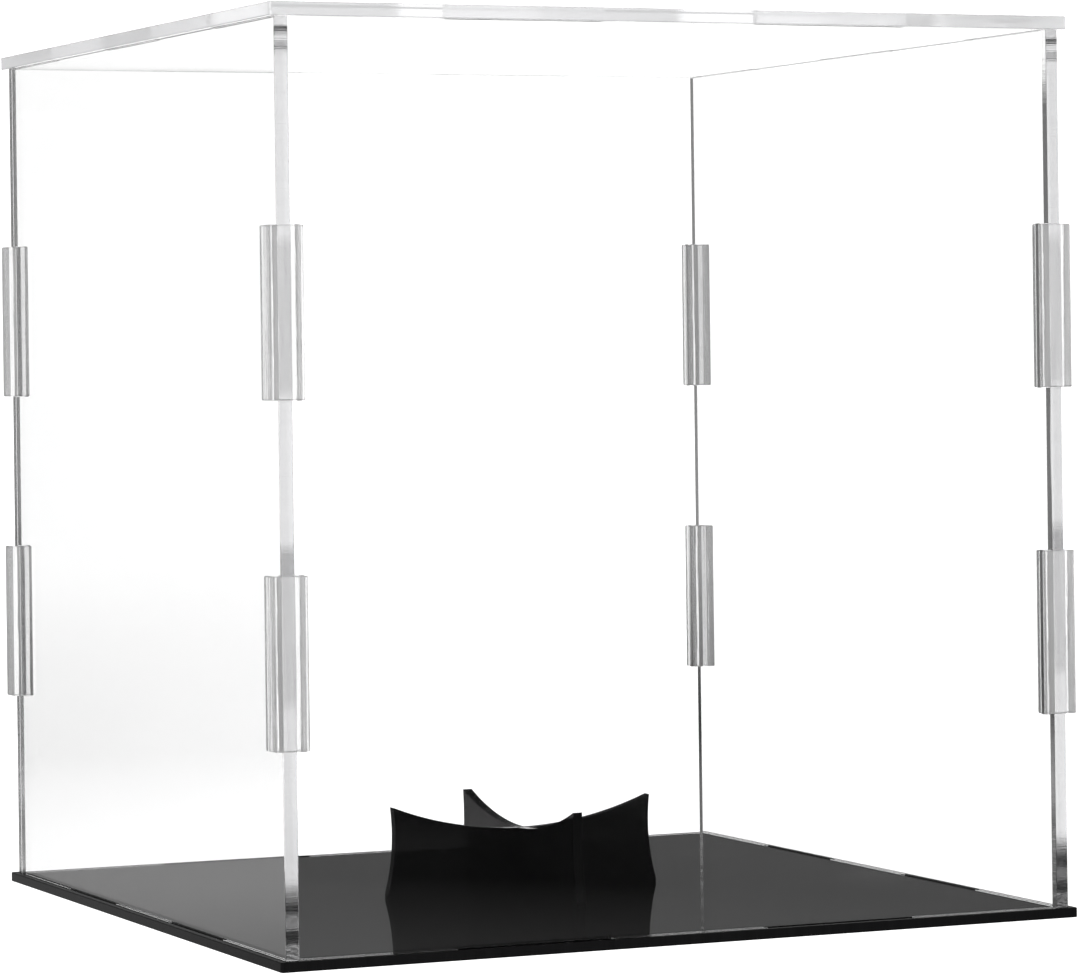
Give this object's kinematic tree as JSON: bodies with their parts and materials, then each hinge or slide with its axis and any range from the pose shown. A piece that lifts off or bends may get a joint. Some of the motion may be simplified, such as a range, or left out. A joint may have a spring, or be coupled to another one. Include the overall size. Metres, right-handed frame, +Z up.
{
  "type": "ball display case",
  "caption": "Flat-pack clear acrylic display case for a ball, with a black base plate, slotted walls, a lift-off lid, clear corner clips and a crossed ball stand.",
  "frame": {"origin": "centre of the base plate's underside", "axes": "+Z up, -Y towards the front panel, +X to the right when seen from the front"},
  "size_m": [0.2614, 0.26, 0.276],
  "materials": {
    "clear_acrylic": "polished clear acrylic sheet with laser-cut edges",
    "clear_clip": "moulded clear plastic",
    "black_acrylic": "high gloss black acrylic sheet"
  },
  "bodies": {
    "base": {"base_plate": "black_acrylic"},
    "walls": {"front_panel": "clear_acrylic", "back_panel": "clear_acrylic", "left_panel": "clear_acrylic", "right_panel": "clear_acrylic"},
    "top": {"top_panel": "clear_acrylic"},
    "stand": {"stand_front_plate": "black_acrylic"},
    "stand_cross": {"stand_cross_plate": "black_acrylic"},
    "clip_front_left_lower": {"corner_clip_front_left_lower": "clear_clip"},
    "clip_front_left_upper": {"corner_clip_front_left_upper": "clear_clip"},
    "clip_front_right_lower": {"corner_clip_front_right_lower": "clear_clip"},
    "clip_front_right_upper": {"corner_clip_front_right_upper": "clear_clip"},
    "clip_back_left_lower": {"corner_clip_back_left_lower": "clear_clip"},
    "clip_back_left_upper": {"corner_clip_back_left_upper": "clear_clip"},
    "clip_back_right_lower": {"corner_clip_back_right_lower": "clear_clip"},
    "clip_back_right_upper": {"corner_clip_back_right_upper": "clear_clip"}
  },
  "joints": [
    {"name": "cover_lift", "type": "slide", "parent": "base", "child": "walls", "axis": [0, 0, 1], "range_m": [0, 0.28]},
    {"name": "top_lift", "type": "slide", "parent": "walls", "child": "top", "axis": [0, 0, 1], "range_m": [0, 0.05]},
    {"name": "stand_lift", "type": "slide", "parent": "base", "child": "stand", "axis": [0, 0, 1], "range_m": [0, 0.05]},
    {"name": "cross_plate_lift", "type": "slide", "parent": "stand", "child": "stand_cross", "axis": [0, 0, 1], "range_m": [0, 0.035]},
    {"name": "clip_front_left_lower_pull", "type": "slide", "parent": "walls", "child": "clip_front_left_lower", "axis": [0, -1, 0], "range_m": [0, 0.012]},
    {"name": "clip_front_left_upper_pull", "type": "slide", "parent": "walls", "child": "clip_front_left_upper", "axis": [0, -1, 0], "range_m": [0, 0.012]},
    {"name": "clip_front_right_lower_pull", "type": "slide", "parent": "walls", "child": "clip_front_right_lower", "axis": [0, -1, 0], "range_m": [0, 0.012]},
    {"name": "clip_front_right_upper_pull", "type": "slide", "parent": "walls", "child": "clip_front_right_upper", "axis": [0, -1, 0], "range_m": [0, 0.012]},
    {"name": "clip_back_left_lower_pull", "type": "slide", "parent": "walls", "child": "clip_back_left_lower", "axis": [0, 1, 0], "range_m": [0, 0.012]},
    {"name": "clip_back_left_upper_pull", "type": "slide", "parent": "walls", "child": "clip_back_left_upper", "axis": [0, 1, 0], "range_m": [0, 0.012]},
    {"name": "clip_back_right_lower_pull", "type": "slide", "parent": "walls", "child": "clip_back_right_lower", "axis": [0, 1, 0], "range_m": [0, 0.012]},
    {"name": "clip_back_right_upper_pull", "type": "slide", "parent": "walls", "child": "clip_back_right_upper", "axis": [0, 1, 0], "range_m": [0, 0.012]}
  ]
}
